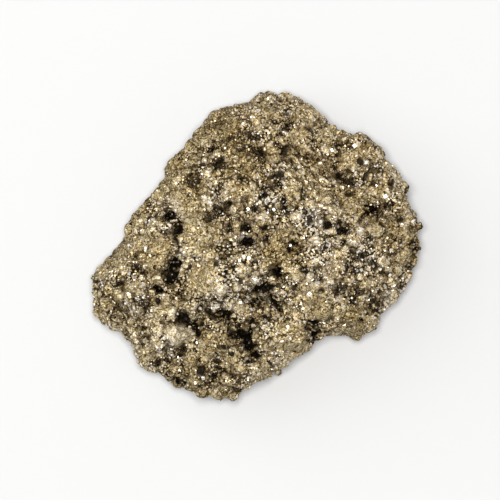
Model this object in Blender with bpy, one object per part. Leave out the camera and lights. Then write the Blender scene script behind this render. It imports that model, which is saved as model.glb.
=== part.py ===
"""A hand specimen of granular pyrite: one mass of intergrown crystals, broken flat underneath.

Metres, +Z up, the origin on the resting plane under the middle of the specimen.
+X runs along the specimen's length, +Y across it.
"""

import math
import random

import bmesh
import bpy
import numpy as np
from mathutils import Euler, Matrix, Vector, noise
from mathutils.bvhtree import BVHTree

MM = 0.001

# Driving dimensions, in millimetres
CROWN_RISE = 18.5  # from the widest level up to the plain crown
RIM_LEVEL = 11.0  # height of the widest level above the resting plane
BELLY_DROP = 15.5  # depth of the rounded underside, cut off at the resting plane
CROWN_POWER = 2.2  # how square the section is above the widest level
BELLY_POWER = 2.2
RIM_INSET = 0.3  # how far the plain mass stays inside the outline's knobs
CREASE = 0.7  # width over which two lumps blend into each other
ROUGHNESS = 0.55  # height of the uneven surface between the crystals
SIDE_CURVE = 0.022  # how fast the sides round off above and below the widest band, per mm
BODY_INSET = 0.05  # room left for crystals between the mass and the outline
BAND_WIDTH = 3.5  # how far the outline's knobs reach above and below the widest band

MESH_LEVEL = 7  # icosphere subdivisions, about 0.6 mm between vertices
BODY_FACES = 4700  # triangles kept in the plain mass
SIDE_LUMPS = 46
SIDE_PITS = 34
SCATTERED_CRYSTALS = 110
CRYSTAL_SPACING = 2.9
CRYSTAL_SUNK = 0.12  # how far a crystal's middle lies under the mass's surface, as a share of its width
SEED = 7

# The plan outline, anticlockwise from the +X end, in millimetres
OUTLINE = [
    (30.0, -0.8), (29.0, 2.1), (29.3, 5.3), (27.8, 7.2), (27.2, 10.6), (25.8, 13.3),
    (24.2, 14.6), (23.3, 16.9), (20.4, 19.1), (18.2, 20.2), (17.2, 19.8), (15.3, 20.8),
    (12.2, 23.4), (10.4, 25.1), (6.2, 27.3), (4.2, 27.0), (2.4, 27.9), (-0.5, 25.9),
    (-3.7, 25.5), (-6.8, 24.1), (-9.2, 22.6), (-10.4, 19.2), (-14.2, 16.4), (-16.9, 11.0),
    (-20.2, 7.2), (-22.6, 4.8), (-24.4, 0.3), (-28.0, -3.9), (-29.8, -5.7), (-29.2, -9.4),
    (-28.7, -12.6), (-27.3, -14.2), (-25.3, -14.8), (-23.3, -16.0), (-21.1, -20.9), (-19.6, -22.7),
    (-18.0, -22.6), (-16.0, -24.5), (-14.2, -25.7), (-11.9, -25.8), (-7.9, -28.0), (-2.6, -26.8),
    (-0.8, -24.9), (3.0, -23.6), (5.1, -22.2), (6.2, -20.6), (8.4, -19.6), (10.8, -18.0),
    (12.6, -15.9), (16.0, -16.3), (18.6, -17.0), (22.1, -14.5), (22.9, -12.2), (27.1, -8.0),
    (28.8, -3.5),
]

# Knobs that stand out of the rim: x, y, radius, height of the middle
KNOBS = [
    (30.0, -0.8, 3.4, 10), (29.2, 5.2, 3.0, 13), (27.0, 10.8, 3.4, 10), (24.0, 15.3, 2.8, 13),
    (21.6, 18.4, 2.4, 10), (18.2, 20.1, 2.8, 13), (13.6, 22.2, 3.0, 10), (10.4, 25.1, 3.4, 13),
    (6.2, 27.2, 2.8, 10), (2.3, 27.9, 2.8, 12), (-1.6, 25.4, 2.8, 10), (-5.4, 24.4, 3.2, 13),
    (-9.0, 22.7, 3.0, 11), (-11.6, 18.4, 3.2, 9), (-14.2, 16.3, 3.0, 12), (-16.6, 11.4, 3.2, 10),
    (-20.3, 7.0, 3.2, 12), (-23.0, 4.0, 2.8, 9), (-25.2, -1.2, 2.8, 11), (-28.4, -3.9, 2.6, 9),
    (-29.8, -6.2, 2.8, 11), (-29.3, -9.8, 2.8, 9), (-28.6, -13.0, 3.0, 10), (-25.0, -14.7, 2.6, 12),
    (-22.6, -17.8, 2.8, 9), (-20.7, -21.4, 2.8, 11), (-17.0, -23.4, 2.6, 12), (-14.2, -25.7, 2.6, 9),
    (-10.8, -26.4, 2.8, 11), (-7.8, -28.0, 3.0, 10), (-3.2, -26.9, 3.0, 12), (0.9, -24.0, 2.8, 9),
    (5.2, -22.0, 2.6, 11), (8.6, -19.8, 2.6, 10), (10.8, -17.9, 2.4, 12), (15.2, -16.4, 2.2, 9),
    (18.6, -16.9, 2.8, 11), (22.1, -14.4, 2.8, 10), (24.4, -10.6, 2.8, 12), (27.3, -7.7, 3.0, 9),
]

# Broad lumps on the crown: x, y, radius, rise
LUMPS = [
    (1.5, 20.5, 7.5, 2.8), (19.5, 14.5, 7.0, 2.8), (-7.5, 11.0, 8.0, 2.4), (11.5, 17.5, 5.0, 2.0),
    (7.5, 13.0, 5.5, 2.8), (10.5, 4.5, 7.5, 3.2), (-2.0, 9.0, 6.0, 2.8), (-12.0, 16.0, 5.0, 1.6),
    (-11.0, 0.5, 6.0, 3.2), (-18.0, 1.5, 6.5, 2.2), (-5.0, -6.0, 6.8, 3.6), (4.0, 5.0, 4.5, 2.4),
    (8.5, -5.5, 6.5, 3.6), (19.5, 2.0, 5.5, 3.2), (22.5, -4.5, 6.0, 2.2), (24.0, 8.0, 5.0, 2.4),
    (15.0, -11.5, 5.5, 2.6), (4.5, -16.5, 5.5, 3.0), (-16.5, -14.5, 6.0, 3.0), (-10.5, -11.5, 4.0, 2.0),
    (-25.0, -7.5, 5.0, 2.0), (-10.0, -21.5, 6.0, 2.4), (-2.5, -22.0, 5.5, 2.0), (8.0, -12.0, 3.6, 2.0),
    (-19.5, -19.5, 4.5, 1.6), (-7.0, -16.5, 4.2, 2.4), (-21.5, -5.5, 4.0, 1.6), (12.0, 10.5, 4.0, 2.2),
]

# Hollows and clefts in the crown: x, y, half length, half width, turn in degrees, depth
HOLLOWS = [
    (-15.6, 5.1, 1.1, 1.0, 0, 5.0), (-14.2, 2.6, 1.5, 1.1, 60, 3.8), (-14.7, -4.4, 2.7, 1.1, 85, 5.6),
    (-17.4, -7.8, 1.3, 0.9, -50, 3.6), (-20.7, -2.9, 1.6, 0.9, -60, 2.4), (-23.8, -6.7, 1.4, 0.8, 90, 1.8),
    (-19.7, -10.8, 1.3, 0.9, -70, 2.8), (-24.7, -11.0, 1.8, 1.1, -20, 2.6), (-12.6, -9.2, 1.3, 1.0, 0, 2.0),
    (-6.2, -12.1, 2.6, 1.0, -8, 5.0), (-11.5, -13.8, 2.6, 0.9, -55, 5.0), (-1.3, -16.0, 2.7, 1.2, 80, 6.2),
    (-3.5, -15.4, 1.7, 1.0, -80, 3.6), (0.8, -19.2, 2.0, 0.8, -50, 4.4), (1.2, -7.9, 2.5, 1.6, -45, 6.0),
    (3.7, -10.1, 1.8, 1.4, 0, 5.6), (3.1, -4.9, 1.2, 0.9, 0, 5.4), (-1.3, 0.6, 1.4, 0.9, -35, 4.2),
    (-4.6, 3.2, 1.9, 0.8, 80, 3.6), (-1.5, 3.5, 1.7, 1.0, -25, 3.8), (1.5, 1.7, 1.9, 0.8, -65, 3.2),
    (6.9, 0.3, 1.6, 1.0, -20, 3.6), (5.1, 6.9, 1.9, 0.8, -65, 3.0), (-5.4, 7.0, 1.9, 0.8, 20, 3.2),
    (-8.3, 4.9, 1.0, 0.9, 0, 2.4), (12.4, 4.2, 1.7, 0.9, -60, 3.2), (16.0, 2.8, 1.6, 0.8, -35, 2.8),
    (20.6, 6.3, 2.4, 1.3, 0, 4.6), (15.4, 11.3, 2.5, 1.0, -30, 4.4), (20.5, 12.9, 1.6, 0.8, 5, 3.0),
    (-7.8, 17.1, 1.1, 0.9, -70, 3.0), (-6.5, 14.7, 1.4, 0.9, 75, 3.6), (-11.0, 11.3, 1.5, 0.8, -30, 2.8),
    (0.4, 16.5, 3.0, 1.4, -45, 2.8), (6.3, 21.5, 1.5, 0.9, 80, 3.0), (4.9, 16.0, 1.8, 0.8, -60, 2.6),
    (15.4, 17.6, 1.8, 0.8, -20, 2.4), (14.2, 14.2, 1.4, 1.0, -30, 2.2), (16.9, -8.7, 2.3, 0.9, 85, 2.8),
    (20.5, -9.9, 1.7, 0.9, 65, 3.2), (14.6, -7.2, 1.2, 0.8, 10, 2.6), (11.2, -15.2, 2.2, 1.0, 55, 5.4),
    (-17.1, -20.6, 2.1, 0.9, 10, 3.2), (-12.8, -24.2, 1.4, 1.0, 60, 2.6), (-7.4, -23.5, 1.7, 0.9, 65, 3.0),
    (-5.6, -21.7, 2.8, 0.8, -35, 2.6), (-12.8, -18.1, 1.9, 0.9, 60, 2.8), (25.4, 4.2, 1.3, 0.9, 0, 1.8),
    (22.9, -4.7, 1.5, 0.8, 60, 2.0), (18.3, -3.0, 1.3, 0.9, 45, 2.0), (-16.6, -20.0, 1.2, 0.9, 0, 2.0),
]

# Larger crystals seen on the crown: x, y, width
CRYSTALS = [
    (-7.9, 7.4, 2.2), (-8.9, 8.4, 1.6), (-2.1, -1.9, 2.0), (-1.2, -2.3, 1.6), (7.8, -10.1, 2.4),
    (8.5, -11.6, 2.2), (1.4, -14.4, 1.8), (0.0, -6.0, 1.6), (-6.7, -6.2, 1.6), (9.4, -8.5, 1.8),
    (-14.0, 11.0, 2.0), (18.5, 18.3, 2.0), (19.4, 14.6, 1.8), (17.8, 15.3, 1.8), (23.0, 8.7, 2.0),
    (26.2, 10.3, 1.8), (27.8, 4.4, 2.0), (23.2, 1.3, 1.8), (18.0, -1.0, 1.8), (21.9, -4.2, 2.0),
    (23.7, -5.3, 1.8), (-10.6, -24.2, 2.0), (-9.2, -23.3, 1.6), (-10.4, -17.1, 1.8), (-16.0, -16.3, 2.0),
    (-20.4, -21.0, 1.8), (4.6, 17.8, 2.2), (3.5, 15.1, 2.4), (-8.8, 14.9, 1.8), (-6.5, 16.3, 1.8),
    (1.7, -3.3, 2.4), (9.7, -5.3, 2.0), (7.1, -6.5, 2.4), (18.1, 2.8, 2.4), (20.3, 2.4, 2.6),
    (25.1, 1.0, 2.0), (12.9, 5.8, 2.2), (12.4, 8.3, 2.2), (18.3, 8.8, 2.2), (7.4, 14.7, 1.8),
    (8.5, 13.1, 1.8), (2.1, -11.2, 2.2), (4.0, -10.1, 2.2), (18.3, 19.7, 2.0), (16.2, 20.1, 1.8),
    (25.3, 13.5, 2.0), (-21.0, -1.0, 1.8), (-4.0, 20.0, 1.8), (13.0, -10.5, 2.0), (-13.5, -22.3, 1.8),
]


def spline_radius(angle, outline):
    """Radius at each angle on a closed Hermite curve through the outline's points."""
    points = np.array(outline)
    turn = np.arctan2(points[:, 1], points[:, 0])
    order = np.argsort(turn)
    turn, reach = turn[order], np.hypot(points[:, 0], points[:, 1])[order]
    turn = np.concatenate([turn[-2:] - math.tau, turn, turn[:2] + math.tau])
    reach = np.concatenate([reach[-2:], reach, reach[:2]])
    slope = np.gradient(reach, turn)
    k = np.clip(np.searchsorted(turn, angle) - 1, 1, len(turn) - 3)
    gap = turn[k + 1] - turn[k]
    t = (angle - turn[k]) / gap
    rise = 3 * t**2 - 2 * t**3
    ends = (t**3 - 2 * t**2 + t) * slope[k] + (t**3 - t**2) * slope[k + 1]
    return (1 - rise) * reach[k] + rise * reach[k + 1] + ends * gap


def rim_radius(angle):
    """The outline smoothed over its knobs and drawn in by RIM_INSET."""
    spread = np.radians(np.linspace(-9, 9, 13))
    weight = np.exp(-((spread / math.radians(5)) ** 2))
    turned = (np.asarray(angle)[..., None] + spread + math.pi) % math.tau - math.pi
    return (spline_radius(turned, OUTLINE) * weight).sum(-1) / weight.sum() - RIM_INSET


def plain_mass(way):
    """The plain rounded mass: a point for each unit direction."""
    flat = np.hypot(way[:, 0], way[:, 1])
    above = way[:, 2] >= 0
    power = np.where(above, CROWN_POWER, BELLY_POWER)
    height = np.where(above, CROWN_RISE, BELLY_DROP)
    scale = (flat**power + np.abs(way[:, 2]) ** power) ** (-1 / power)
    angle = np.arctan2(way[:, 1], way[:, 0])
    reach = rim_radius(angle) * scale
    return np.stack([reach * way[:, 0], reach * way[:, 1], height * way[:, 2] * scale], axis=1)


def outward(point):
    """Rough outward direction of the plain mass at a point on it."""
    height = CROWN_RISE if point[2] > 0 else BELLY_DROP
    lean = np.array([point[0] / 29**2, point[1] / 27**2, point[2] / height**2])
    return lean / np.linalg.norm(lean)


def random_way(dice, lowest, highest):
    """A unit direction with its height between two limits."""
    up, turn = dice.uniform(lowest, highest), dice.uniform(0, math.tau)
    flat = math.sqrt(1 - up**2)
    return np.array([flat * math.cos(turn), flat * math.sin(turn), up])


def lump_balls(dice):
    """Middle and radius of every lump's ball, measured from the middle of the widest level."""
    balls = []
    for x, y, radius, rise in LUMPS:
        share = math.hypot(x, y) / rim_radius(math.atan2(y, x))
        up = CROWN_RISE * max(1 - share**CROWN_POWER, 0.01) ** (1 / CROWN_POWER)
        point = np.array([x, y, up])
        balls.append((point + outward(point) * (rise - radius), radius))
    for x, y, radius, height in KNOBS:
        inward = 1 - (radius + BODY_INSET) / math.hypot(x, y)
        balls.append((np.array([x * inward, y * inward, height - RIM_LEVEL]), radius))
    for _ in range(SIDE_LUMPS):
        point = plain_mass(random_way(dice, -0.75, 0.45)[None])[0]
        radius, rise = dice.uniform(3.2, 6.2), dice.uniform(0.9, 1.9)
        balls.append((point + outward(point) * (rise - radius), radius))
    return balls


def grow_lumps(points, balls):
    """Push the points out to the balls' far sides, blended along the creases."""
    reach = np.linalg.norm(points, axis=1)
    way = points / reach[:, None]
    for middle, radius in balls:
        along = way @ middle
        inside = radius**2 - (middle @ middle - along**2)
        exit_at = np.where(inside > 0, along + np.sqrt(np.abs(inside)), 0)
        blend = np.clip(1 - np.abs(reach - exit_at) / CREASE, 0, 1)
        reach = np.maximum(reach, exit_at) + blend**2 * CREASE / 4
    return way * reach[:, None]


def past_outline(x, y):
    """How far a plan position lies outside the outline."""
    return np.hypot(x, y) - spline_radius(np.arctan2(y, x), OUTLINE)


def above_band(points):
    """Height above the widest band, which wanders up and down around the specimen."""
    angle = np.arctan2(points[:, 1], points[:, 0])
    return points[:, 2] - 2.2 * np.sin(3 * angle + 0.6) - 1.4 * np.sin(7 * angle + 2)


def keep_inside(points):
    """Draw in what reaches past the outline, and more so away from the widest band.

    Away from the band the limit loses the outline's knobs, and lumps keep part of what stands past it.
    """
    reach = np.hypot(points[:, 0], points[:, 1])
    angle = np.arctan2(points[:, 1], points[:, 0])
    above = above_band(points)
    near = np.exp(-((above / BAND_WIDTH) ** 2))
    limit = near * spline_radius(angle, OUTLINE) + (1 - near) * (rim_radius(angle) + RIM_INSET)
    excess = np.maximum(reach - limit + BODY_INSET + SIDE_CURVE * above**2, 0)
    points[:, :2] *= (1 - excess * (0.6 + 0.4 * near) / np.maximum(reach, 1))[:, None]
    return points


def sink_pits(points, dice):
    """Sink the crown's hollows straight down, and the sides' pits inward off the widest band."""
    upward = np.clip(points[:, 2] / 3, 0, 1)
    for x, y, half_length, half_width, turn, depth in HOLLOWS:
        c, s = math.cos(math.radians(turn)), math.sin(math.radians(turn))
        dx, dy = points[:, 0] - x, points[:, 1] - y
        far = ((dx * c + dy * s) / half_length) ** 2 + ((dy * c - dx * s) / half_width) ** 2
        points[:, 2] -= depth * np.exp(-0.9 * far**1.5) * upward
    for _ in range(SIDE_PITS):
        way = random_way(dice, -0.6, 0.4)
        middle = plain_mass(way[None])[0]
        width, depth = dice.uniform(1.1, 2.2), dice.uniform(1.8, 3.4)
        depth *= 1 - math.exp(-((above_band(middle[None])[0] / BAND_WIDTH) ** 2))
        far = ((points - middle) ** 2).sum(axis=1) / width**2
        points -= way * (depth * np.exp(-0.5 * far))[:, None]
    return points


def roughen(points):
    """Give the mass an uneven surface."""
    lengths = np.linalg.norm(points, axis=1)
    bumps = [noise.fractal(Vector(p) * 0.35, 0.7, 2.1, 4) for p in points]
    return points * (1 + ROUGHNESS * np.array(bumps) / lengths)[:, None]


def make_body(dice):
    """The mass without its crystals, thinned out to BODY_FACES triangles."""
    mesh = bmesh.new()
    bmesh.ops.create_icosphere(mesh, subdivisions=MESH_LEVEL, radius=1)
    way = np.array([v.co for v in mesh.verts])
    points = plain_mass(way / np.linalg.norm(way, axis=1)[:, None])
    points = grow_lumps(points, lump_balls(dice))
    points = keep_inside(roughen(sink_pits(points, dice)))
    points[:, 2] += RIM_LEVEL
    for v, p in zip(mesh.verts, points):
        v.co = Vector(p)
    data = bpy.data.meshes.new("body")
    mesh.to_mesh(data)
    mesh.free()
    body = bpy.data.objects.new("body", data)
    bpy.context.scene.collection.objects.link(body)
    thin = body.modifiers.new("thin", "DECIMATE")
    thin.ratio = BODY_FACES / len(data.polygons)
    thinned = bpy.data.meshes.new_from_object(body.evaluated_get(bpy.context.evaluated_depsgraph_get()))
    bpy.data.objects.remove(body)
    return thinned


def add_crystal(mesh, dice, hit, facing, width, lean):
    """A cube or an octahedron at a point of the body, drawn in where it would pass the outline."""
    turn = Euler((dice.gauss(0, lean), dice.gauss(0, lean), dice.uniform(0, math.tau))).to_matrix()
    turn = facing.to_track_quat("Z", "X").to_matrix() @ turn
    if dice.random() < 0.67:
        corners = [(x, y, z) for x in (-0.5, 0.5) for y in (-0.5, 0.5) for z in (-0.5, 0.5)]
    else:
        corners = [Vector(a) * s for a in ((0.72, 0, 0), (0, 0.72, 0), (0, 0, 0.72)) for s in (-1, 1)]
    place = hit - facing * width * CRYSTAL_SUNK
    corners = [place + turn @ (Vector(c) * width) for c in corners]
    excess = max(past_outline(c.x, c.y) for c in corners)
    inward = Vector((place.x, place.y, 0)).normalized() * max(excess - 0.1, 0)
    bmesh.ops.convex_hull(mesh, input=[mesh.verts.new(c - inward) for c in corners])


def make_crystals(body, dice):
    """The crystals: those with a place of their own on the crown, then a scatter."""
    tree = BVHTree.FromPolygons([v.co for v in body.vertices], [p.vertices[:] for p in body.polygons])
    mesh = bmesh.new()
    taken = []
    for x, y, width in CRYSTALS:
        hit, facing, _, _ = tree.ray_cast(Vector((x, y, 60)), Vector((0, 0, -1)))
        if hit is not None:
            add_crystal(mesh, dice, hit, facing, width, 0.3)
            taken.append(hit)
    middle = Vector((0, 0, RIM_LEVEL))
    while len(taken) < len(CRYSTALS) + SCATTERED_CRYSTALS:
        way = Vector(random_way(dice, -0.62, 1))
        hit, facing, _, _ = tree.ray_cast(middle + way * 60, -way)
        if hit is None or hit.z < 2 or min((hit - other).length for other in taken) < CRYSTAL_SPACING:
            continue
        add_crystal(mesh, dice, hit, facing, dice.uniform(1.5, 2.0 if hit.z < 18 else 2.6), 0.5)
        taken.append(hit)
    return mesh


def centre(data):
    """Bring the middle of the bounding box's plan to the origin."""
    corners = np.array([v.co for v in data.vertices])
    middle = (corners.min(axis=0) + corners.max(axis=0)) / 2
    data.transform(Matrix.Translation((-middle[0], -middle[1], 0)))


def link_mesh(name, mesh):
    data = bpy.data.meshes.new(name)
    mesh.to_mesh(data)
    mesh.free()
    obj = bpy.data.objects.new(name, data)
    bpy.context.scene.collection.objects.link(obj)
    return obj


def drop_cavities(data):
    """Keep the outer skin only: crystals that meet over a pit would seal a cavity."""
    mesh = bmesh.new()
    mesh.from_mesh(data)
    left = set(mesh.verts)
    skins = []
    while left:
        skin, edge = set(), [left.pop()]
        while edge:
            vert = edge.pop()
            skin.add(vert)
            near = {e.other_vert(vert) for e in vert.link_edges} & left
            left -= near
            edge.extend(near)
        skins.append(skin)
    outer = max(skins, key=len)
    bmesh.ops.delete(mesh, geom=[v for v in mesh.verts if v not in outer], context="VERTS")
    mesh.to_mesh(data)
    mesh.free()
    return data


def pyrite():
    stone = bpy.data.materials.new("pyrite")
    stone.use_nodes = True
    shader = stone.node_tree.nodes["Principled BSDF"]
    shader.inputs["Base Color"].default_value = (0.33, 0.26, 0.14, 1)
    shader.inputs["Metallic"].default_value = 0.9
    shader.inputs["Roughness"].default_value = 0.4
    return stone


def build():
    dice = random.Random(SEED)
    body = make_body(dice)
    crystals = make_crystals(body, dice)
    bmesh.ops.scale(crystals, vec=(MM, MM, MM), verts=crystals.verts)
    body.transform(Matrix.Scale(MM, 4))

    specimen = bpy.data.objects.new("pyrite_cluster", body)
    bpy.context.scene.collection.objects.link(specimen)
    crystals = link_mesh("crystals", crystals)

    ground = bmesh.new()
    bmesh.ops.create_cube(ground, size=2, matrix=Matrix.Diagonal((50 * MM, 50 * MM, 10 * MM, 1)))
    bmesh.ops.translate(ground, vec=(0, 0, -10 * MM), verts=ground.verts)
    ground = link_mesh("ground", ground)

    join = specimen.modifiers.new("crystals", "BOOLEAN")
    join.operation, join.solver, join.use_self, join.object = "UNION", "EXACT", True, crystals
    cut = specimen.modifiers.new("base", "BOOLEAN")
    cut.operation, cut.solver, cut.object = "DIFFERENCE", "EXACT", ground
    fused = bpy.data.meshes.new_from_object(specimen.evaluated_get(bpy.context.evaluated_depsgraph_get()))
    specimen.modifiers.clear()
    specimen.data = drop_cavities(fused)
    centre(specimen.data)
    specimen.data.materials.clear()
    specimen.data.materials.append(pyrite())
    for helper in (crystals, ground):
        bpy.data.objects.remove(helper)
    return specimen


if __name__ == "__main__":
    for old in list(bpy.data.objects):
        bpy.data.objects.remove(old)
    build()
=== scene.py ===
# Pyrite specimen: a body of stone, darkened with painted shade under the crust and in its hollows, under a
# crust of small metallic crystals.
# The scene is in metres. The settings are in millimetres unless a note says otherwise.
import math

import bmesh
import bpy
import numpy as np
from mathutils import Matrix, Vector, kdtree, noise


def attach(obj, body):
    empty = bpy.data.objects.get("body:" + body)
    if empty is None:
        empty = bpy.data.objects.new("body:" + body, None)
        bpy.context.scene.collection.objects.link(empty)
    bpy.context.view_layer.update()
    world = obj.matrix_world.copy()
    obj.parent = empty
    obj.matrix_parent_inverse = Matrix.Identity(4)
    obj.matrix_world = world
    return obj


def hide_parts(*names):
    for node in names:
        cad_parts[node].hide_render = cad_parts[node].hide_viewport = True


mm = 0.001
nodeName = "pyrite_cluster"
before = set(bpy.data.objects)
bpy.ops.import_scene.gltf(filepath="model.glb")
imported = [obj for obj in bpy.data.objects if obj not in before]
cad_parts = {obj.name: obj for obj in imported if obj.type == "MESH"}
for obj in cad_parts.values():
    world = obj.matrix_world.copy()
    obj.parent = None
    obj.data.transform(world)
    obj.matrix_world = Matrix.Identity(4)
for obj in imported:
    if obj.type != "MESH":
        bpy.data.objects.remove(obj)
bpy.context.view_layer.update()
print("frame loaded")


class Wire:
    # a socket with arithmetic on it
    def __init__(self, tree, socket):
        self.tree, self.socket = tree, socket

    def maths(self, operation, *values):
        node = self.tree.nodes.new("ShaderNodeMath")
        node.operation = operation
        for slot, value in zip(node.inputs, values):
            plug(self.tree, slot, value)
        return Wire(self.tree, node.outputs[0])

    def __add__(self, other):
        return self.maths("ADD", self, other)

    def __radd__(self, other):
        return self.maths("ADD", other, self)

    def __sub__(self, other):
        return self.maths("SUBTRACT", self, other)

    def __rsub__(self, other):
        return self.maths("SUBTRACT", other, self)

    def __mul__(self, other):
        return self.maths("MULTIPLY", self, other)

    def __rmul__(self, other):
        return self.maths("MULTIPLY", other, self)

    def clamp(self):
        wire = self.maths("ADD", self, 0.0)
        wire.socket.node.use_clamp = True
        return wire


def plug(tree, slot, value):
    if isinstance(value, Wire):
        tree.links.new(value.socket, slot)
    else:
        slot.default_value = value


class Finish:
    def __init__(self, name):
        self.material = bpy.data.materials.new(name)
        self.material.use_nodes = True
        self.tree = self.material.node_tree
        self.shader = self.tree.nodes["Principled BSDF"]

    def node(self, kind, settings=None, sockets=None, output=0):
        made = self.tree.nodes.new(kind)
        for key, value in (settings or {}).items():
            if key == "stops":
                bar = made.color_ramp.elements
                while len(bar) < len(value):
                    bar.new(0.5)
                for stop, (at, colour) in zip(bar, value):
                    stop.position, stop.color = at, (*colour, 1)
            else:
                setattr(made, key, value)
        for key, value in (sockets or {}).items():
            plug(self.tree, made.inputs[key], value)
        return Wire(self.tree, made.outputs[output])

    def place(self):
        return self.node("ShaderNodeTexCoord", output="Object")

    def attribute(self, name):
        return self.node("ShaderNodeAttribute", {"attribute_name": name}, output="Fac")

    def noise(self, width, detail=2.0, output="Fac"):
        # width in millimetres
        sockets = {"Vector": self.place(), "Scale": 1 / (width * mm), "Detail": detail}
        return self.node("ShaderNodeTexNoise", None, sockets, output)

    def cells(self, width, feature="F1", output="Distance", at=None):
        sockets = {"Vector": at or self.place(), "Scale": 1 / (width * mm)}
        return self.node("ShaderNodeTexVoronoi", {"feature": feature}, sockets, output)

    def vector(self, operation, a, b, output=0):
        return self.node("ShaderNodeVectorMath", {"operation": operation}, {0: a, 1: b}, output)

    def ramp(self, fac, stops):
        return self.node("ShaderNodeValToRGB", {"stops": stops}, {"Fac": fac})

    def mix(self, fac, a, b, blend="MIX"):
        settings = {"data_type": "RGBA", "blend_type": blend}
        return self.node("ShaderNodeMix", settings, {0: fac, 6: a, 7: b}, 2)

    def maths(self, operation, value):
        return self.node("ShaderNodeMath", {"operation": operation}, {0: value})

    def red(self, colour):
        return self.node("ShaderNodeSeparateColor", None, {0: colour})

    def into(self, socket, wire):
        plug(self.tree, self.shader.inputs[socket], wire)


# the stone body under the crystals
body = {
    "voxel": 0.34,
    "skin": -0.50,  # how deep its highest places lie under the solid's surface: a little over it
    "clumpWidth": 5.2,
    "clumpDepth": 0.50,
    "clumpOnWalls": 0.6,  # how much more the clumps stand out on the steep sides
    "knotWidth": 2.4,
    "knotDepth": 0.28,
    "knotTall": 0.55,  # below 1 the knots are taller than wide
    "knotOnWalls": 1.2,
    "knotOnFlank": 0.8,
    "beadWidth": 1.0,
    "beadDepth": 0.16,
    "jointWidth": 0.10,  # the dark joints between beads, as a share of a bead
    "jointShade": 0.7,
    "ragged": 0.3,  # how far the edges of pits and mounds wander
    "baseFlat": 0.6,  # below this height the body is left plain
    "flatTo": 0.02,  # faces below this height are merged
    "flatAngle": 0.03,  # radians
    "topStart": 9,  # above this height the top's own relief begins
    "topFade": 4,
    "tone": 0.50,
    "toneChange": 0.10,
    # painted shade: the body under the crust keeps at most this share of its lightness
    "underCrust": 0.2,  # how much light reaches the body under the crust
    "clearOnWalls": 0.8,
}

cracks = {
    "depth": 0.8,
    "thin": 0.05,  # half a crack's width, as a share of its cells' width
    "wide": 0.22,
    "areaWidth": 4.5,  # areas with and without cracks
    "areaContrast": 1.8,
    "usual": 0.25,
    "lessOnFlank": 0.5,
    "lessOnMounds": 0.7,
    "lessWhereCalm": 0.7,
    # painted shade in the cracks
    "shade": 0.5,
}

# in the three that follow, distances are squared and 1 at an oval's edge
pitShape = {
    "reach": 1.4,
    "wallPower": 0.6,
    "sinkShare": 0.8,
    # the shade in a pit is painted into the colour, darker in deeper pits
    "shadeReach": 1.25,
    "shadeEdge": 0.35,
    "leastShade": 0.65,
    "shadePerDepth": 0.25,
    "shallow": 2.2,  # pits less deep than this are paler towards their edge
    "shallowFade": 0.35,
}

moundShape = {
    "reach": 1.2,
    "edge": 2,
    "height": 0.75,  # as a share of a mound's half width
    "roundness": 0.5,
    "lightShare": 0.7,
    "lightLoss": 0.05,
    # the groove round a mound is not cut in: it is a ring of painted shade
    "grooveAt": 1.5,
    "grooveWidth": 0.35,
    "grooveFree": 0.3,  # a groove ends on this share of another mound
    "grooveShade": 0.6,
}

calmLook = {"reach": 1.3, "edge": 1.5, "bald": 0.85}

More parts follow.
